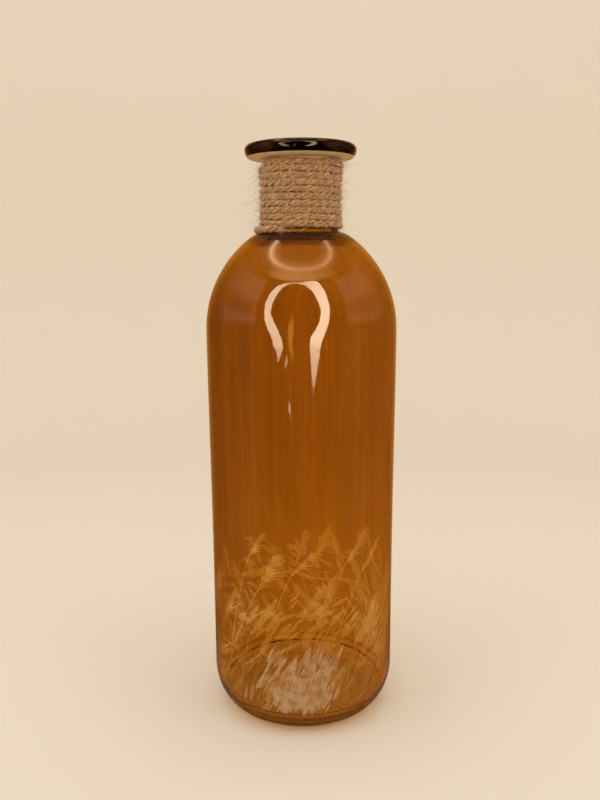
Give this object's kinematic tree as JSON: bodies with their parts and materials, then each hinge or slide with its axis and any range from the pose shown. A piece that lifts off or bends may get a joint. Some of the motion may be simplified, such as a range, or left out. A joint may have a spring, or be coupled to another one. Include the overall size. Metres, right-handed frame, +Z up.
{
  "type": "bud vase",
  "caption": "Tall bottle-shaped bud vase in amber-brown glass, with a domed shoulder, a rolled lip and jute twine wound round its narrow neck.",
  "frame": {"origin": "centre of the foot, on the surface that the vase stands on", "axes": "+Z up along the vase's turning axis, out of its mouth; -Y towards the picture's viewer, so the twine's two ends lie at the front left"},
  "size_m": [0.0998, 0.0998, 0.3],
  "materials": {
    "stained_glass": "clear glass with a translucent amber-brown stain, gloss",
    "jute": "natural twisted jute, dry and fibrous"
  },
  "bodies": {
    "root": {"glass_vessel": "stained_glass", "neck_twine": "jute"}
  },
  "joints": []
}
